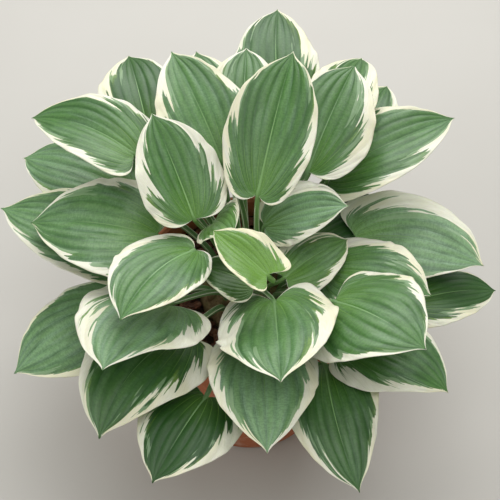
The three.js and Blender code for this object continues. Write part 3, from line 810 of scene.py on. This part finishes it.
def leaf_piece(leaf, materials, count):
    """Makes one leaf from its row of the table. Its number shifts the pattern, so that no two match."""
    leaf = {**USUAL, **leaf}
    midrib = midrib_of(leaf)
    bm = bmesh.new()
    layers = {
        "uv": bm.loops.layers.uv.new("leaf"),
        "cream": bm.verts.layers.float.new("cream"),
        "margin": bm.verts.layers.float.new("margin"),
        "seed": bm.verts.layers.float.new("seed"),
        "tone": bm.verts.layers.float.new("tone"),
        "young": bm.verts.layers.float.new("young"),
    }
    add_blade(bm, leaf, midrib, layers)
    add_stalk(bm, leaf, midrib, layers)
    for v in bm.verts:
        v[layers["seed"]] = 7.3 * count
        v[layers["young"]] = leaf["young"]
        v.co = (v.co + Vector((0, 0, SOIL_TOP))) * MM
    new_piece("hosta_leaf_" + leaf["name"], bm, materials, "leaf_" + leaf["name"])


STALK_SIDES = 20
STALK_RINGS = 26
RIB_RINGS = 16
GROOVE_DEPTH = 0.85
GROOVE_HALF_ANGLE = 0.62
LIP_PLACE = 1.7 * GROOVE_HALF_ANGLE
LIP_HALF_ANGLE = 0.22
LIP_HEIGHT = 0.12
LIP_CREAM = 3.5
STALK_CREAM = -2
STALK_TONE = 1
# where the stalk lies on the leaf's pattern: beside the midrib, close to the stalk's end
STALK_PATTERN = (0.05, 0.12)
RIB_REACH = 0.8


def stalk_rings(leaf, midrib):
    """The stalk's rings from its foot to the end of the midrib: centre, ahead, radius and groove."""
    ring, bearing = leaf["socket"]
    out = Vector((math.cos(math.radians(bearing)), math.sin(math.radians(bearing)), 0))
    crown_top = crown_top_at(ring)
    collar = out * ring + UP * (crown_top + COLLAR_HEIGHT)
    base = midrib.at(0)
    reach = (base - collar).length
    arrival = (midrib.ahead(0) + (base - collar).normalized()).normalized()
    sway = Vector(leaf["sway"])
    lower = collar + UP * reach * STALK_RISE + sway
    upper = base - arrival * reach * STALK_ARRIVAL + sway
    stalk = Curve(collar, lower, upper, base)
    foot = out * ring + UP * (crown_top - SOCKET_DEPTH + SEAT_GAP)
    rings = [(foot, UP, STALK_BASE_RADIUS, 0)]
    for i in range(STALK_RINGS + 1):
        s = i / STALK_RINGS
        radius = STALK_BASE_RADIUS + (STALK_TOP_RADIUS - STALK_BASE_RADIUS) * s
        rings.append((stalk.at(s), stalk.ahead(s), radius, min(1, 4 * s) * min(1, 8 * (1 - s))))
    length = midrib.length()
    for i in range(1, RIB_RINGS + 1):
        s = i / RIB_RINGS * RIB_REACH
        radius = STALK_TOP_RADIUS * (1 - i / RIB_RINGS) ** 0.8 + 0.15
        centre = blade_point(leaf, midrib, length, s, 0) - UP * (radius * 0.75 + 0.2)
        rings.append((centre, midrib.ahead(s), radius, 0))
    return rings


def add_stalk(bm, leaf, midrib, layers):
    """The stalk and midrib: a tapering tube, grooved along its inner side, with cream lips."""
    rings = stalk_rings(leaf, midrib)
    out = (midrib.at(0) - rings[0][0]).cross(UP)
    side = out.normalized() if out.length > 1 else Vector((1, 0, 0))
    last = len(rings) - 1
    verts = bmesh.ops.create_grid(bm, x_segments=STALK_SIDES, y_segments=last, size=1)["verts"]
    frames = []
    for centre, ahead, radius, groove in rings:
        across = (side - ahead * side.dot(ahead)).normalized()
        frames.append((centre, across, across.cross(ahead), radius, groove))
        side = across
    ends = {0: [], last: []}
    for v in verts:
        row = round((v.co.y + 1) / 2 * last)
        turn = math.pi * v.co.x
        centre, across, inner, radius, groove = frames[row]
        dip = math.exp(-((turn / GROOVE_HALF_ANGLE) ** 2))
        lip = math.exp(-(((abs(turn) - LIP_PLACE) / LIP_HALF_ANGLE) ** 2))
        reach = radius * (1 - GROOVE_DEPTH * groove * dip + LIP_HEIGHT * groove * lip)
        v[layers["tone"]] = STALK_TONE
        v[layers["cream"]] = LIP_CREAM * groove * lip + STALK_CREAM
        v.co = centre + across * math.sin(turn) * reach + inner * math.cos(turn) * reach
        if row in ends:
            ends[row].append(v)
    for face in faces_of(verts):
        for loop in face.loops:
            loop[layers["uv"]].uv = STALK_PATTERN
    bmesh.ops.remove_doubles(bm, verts=verts, dist=0.001)
    for row in ends.values():
        loop_edges = [e for v in row if v.is_valid for e in v.link_edges if e.is_boundary]
        bmesh.ops.edgeloop_fill(bm, edges=list(dict.fromkeys(loop_edges)))
    bmesh.ops.recalc_face_normals(bm, faces=faces_of(verts))


leaf_materials = [leaf_surface(under=False), leaf_surface(under=True)]
for number, row in enumerate(LEAVES):
    leaf_piece(row, leaf_materials, number)

# --------------------------------------------------------------------------------------------
# The crown is the plant's short rootstock, half out of the soil: a knobbly pale brown dome under
# the papery sheaths that wrap the foot of each stalk.
# --------------------------------------------------------------------------------------------
CROWN_STEPS = 96
CROWN_RINGS = 20
KNOB_HEIGHT = 1.8
KNOB_SIZE = 7
SHEATH_SIDES = 12
SHEATH_SEED = 5
SHEATH_HEIGHTS = (9, 17)
SHEATH_SUNK = 3
SHEATH_FLARE = 2.2
SHEATH_NECK = 0.7
SHEATH_RAGGEDNESS = 2.5
SHEATH_WALL = 0.5


def rootstock():
    """Root bark and dead leaf bases: fibrous pale brown, darker in the hollows and greener in patches."""
    material = new_material("rootstock")
    place = add_node(material, "ShaderNodeTexCoord").outputs["Object"]
    squeezed = add_node(
        material, "ShaderNodeMapping",
        {"Vector": place, "Scale": (1 / (3 * MM), 1 / (3 * MM), 1 / (14 * MM))},
    )
    fibres = add_node(
        material, "ShaderNodeTexNoise", {"Vector": squeezed.outputs[0], "Scale": 1, "Detail": 6}
    )
    patches = add_node(material, "ShaderNodeTexNoise", {"Vector": place, "Scale": 1 / (16 * MM), "Detail": 3})
    brown = add_node(
        material, "ShaderNodeMix",
        {0: fibres.outputs[0], 6: linear("#4b3823"), 7: linear("#a98f66")}, data_type="RGBA",
    )
    green = add_node(material, "ShaderNodeMapRange", {0: patches.outputs[0], 1: 0.5, 2: 0.66, 4: 0.5})
    colour = add_node(
        material, "ShaderNodeMix",
        {0: green.outputs[0], 6: brown.outputs[2], 7: linear("#75803f")}, data_type="RGBA",
    )
    bump = add_node(
        material, "ShaderNodeBump", {"Height": fibres.outputs[0], "Strength": 0.8, "Distance": MM}
    )
    return finish_material(
        material, {"Base Color": colour.outputs[2], "Roughness": 0.8, "Normal": bump.outputs[0]}
    )


def add_sheath(bm, leaf, draw):
    """A papery sheath: a tube round the stalk's foot, open and ragged at the top."""
    ring, bearing = leaf["socket"]
    turn = math.radians(bearing)
    foot = Vector((ring * math.cos(turn), ring * math.sin(turn), crown_top_at(ring) - SHEATH_SUNK))
    height = draw.uniform(*SHEATH_HEIGHTS)
    made = bmesh.ops.create_cone(
        bm, cap_ends=False, segments=SHEATH_SIDES, radius1=STALK_BASE_RADIUS + SHEATH_FLARE,
        radius2=STALK_BASE_RADIUS + SHEATH_NECK, depth=height,
    )["verts"]
    for v in made:
        if v.co.z > 0:
            v.co.z += draw.uniform(-SHEATH_RAGGEDNESS, SHEATH_RAGGEDNESS)
    bmesh.ops.translate(bm, verts=made, vec=foot + UP * height / 2)
    walls = faces_of(made)
    bmesh.ops.recalc_face_normals(bm, faces=walls)
    bmesh.ops.solidify(bm, geom=walls, thickness=SHEATH_WALL)


def root_crown():
    draw = random.Random(SHEATH_SEED)
    profile = [(0, -CROWN_BELOW_SOIL)]
    for share in (0.5, 0.85, 1):
        profile.append((CROWN_RADIUS * share, -CROWN_BELOW_SOIL * math.sqrt(1 - share * share)))
    for i in range(1, CROWN_RINGS):
        radius = CROWN_RADIUS * (1 - i / CROWN_RINGS)
        profile.append((radius, crown_top_at(radius)))
    profile.append((0, CROWN_ABOVE_SOIL))
    bm = turned(profile, CROWN_STEPS)
    for v in bm.verts:
        v.co /= MM
        if v.co.z > 1:
            v.co += v.normal * KNOB_HEIGHT * noise.fractal(v.co / KNOB_SIZE, 1, 2, 3)
    for leaf in LEAVES:
        add_sheath(bm, leaf, draw)
    for v in bm.verts:
        v.co = (v.co + Vector((0, 0, SOIL_TOP))) * MM
    new_piece("root_crown", bm, [rootstock()], "crown")


root_crown()

# --------------------------------------------------------------------------------------------
# The plain pale floor, the soft light from above, and the camera.
# --------------------------------------------------------------------------------------------
CAMERA_ELEVATION = 52
CAMERA_DISTANCE = 1500
CAMERA_AIM = Vector((0, 0, SOIL_TOP + 100))
CAMERA_LENS = 83.08
SENSOR_WIDTH = 36
FLOOR_HALF_SIDE = 6
LIGHT_AIM = (0, 0, 0.3)


def pale_floor():
    material = new_material("pale floor")
    place = add_node(material, "ShaderNodeTexCoord").outputs["Object"]
    mottle = add_node(material, "ShaderNodeTexNoise", {"Vector": place, "Scale": 3, "Detail": 3})
    colour = add_node(
        material, "ShaderNodeMix",
        {0: mottle.outputs[0], 6: linear("#bdbbb5"), 7: linear("#c4c2bd")}, data_type="RGBA",
    )
    return finish_material(material, {"Base Color": colour.outputs[2], "Roughness": 0.9})


def soft_light(name, place, size, watts, aim):
    lamp = bpy.data.lights.new(name, "AREA")
    lamp.shape = "DISK"
    lamp.size = size
    lamp.energy = watts
    light = bpy.data.objects.new(name, lamp)
    light.location = place
    light.rotation_euler = (Vector(aim) - Vector(place)).to_track_quat("-Z", "Y").to_euler()
    bpy.context.scene.collection.objects.link(light)


def studio():
    bm = bmesh.new()
    bmesh.ops.create_grid(bm, x_segments=1, y_segments=1, size=FLOOR_HALF_SIDE)
    mesh = bpy.data.meshes.new("floor")
    bm.to_mesh(mesh)
    bm.free()
    mesh.materials.append(pale_floor())
    floor = bpy.data.objects.new("floor", mesh)
    bpy.context.scene.collection.objects.link(floor)

    soft_light("sky behind", (0.1, 1.6, 1.9), 2, 46, LIGHT_AIM)
    soft_light("above", (0.3, -0.5, 2.3), 1.6, 17, LIGHT_AIM)
    soft_light("left", (-1.7, -0.4, 1.5), 1.6, 10, LIGHT_AIM)
    world = bpy.data.worlds.new("soft sky")
    world.use_nodes = True
    sky = world.node_tree.nodes["Background"]
    sky.inputs["Color"].default_value = linear("#eceae4")
    sky.inputs["Strength"].default_value = 0.45
    bpy.context.scene.world = world
    bpy.context.scene.view_settings.view_transform = "Standard"

    lens = bpy.data.cameras.new("camera")
    lens.lens = CAMERA_LENS
    lens.sensor_width = SENSOR_WIDTH
    lens.clip_end = 20
    camera = bpy.data.objects.new("camera", lens)
    tilt = math.radians(CAMERA_ELEVATION)
    back = Vector((0, -math.cos(tilt), math.sin(tilt)))
    camera.location = (CAMERA_AIM + back * CAMERA_DISTANCE) * MM
    camera.rotation_euler = (-back).to_track_quat("-Z", "Y").to_euler()
    bpy.context.scene.collection.objects.link(camera)
    bpy.context.scene.camera = camera


studio()
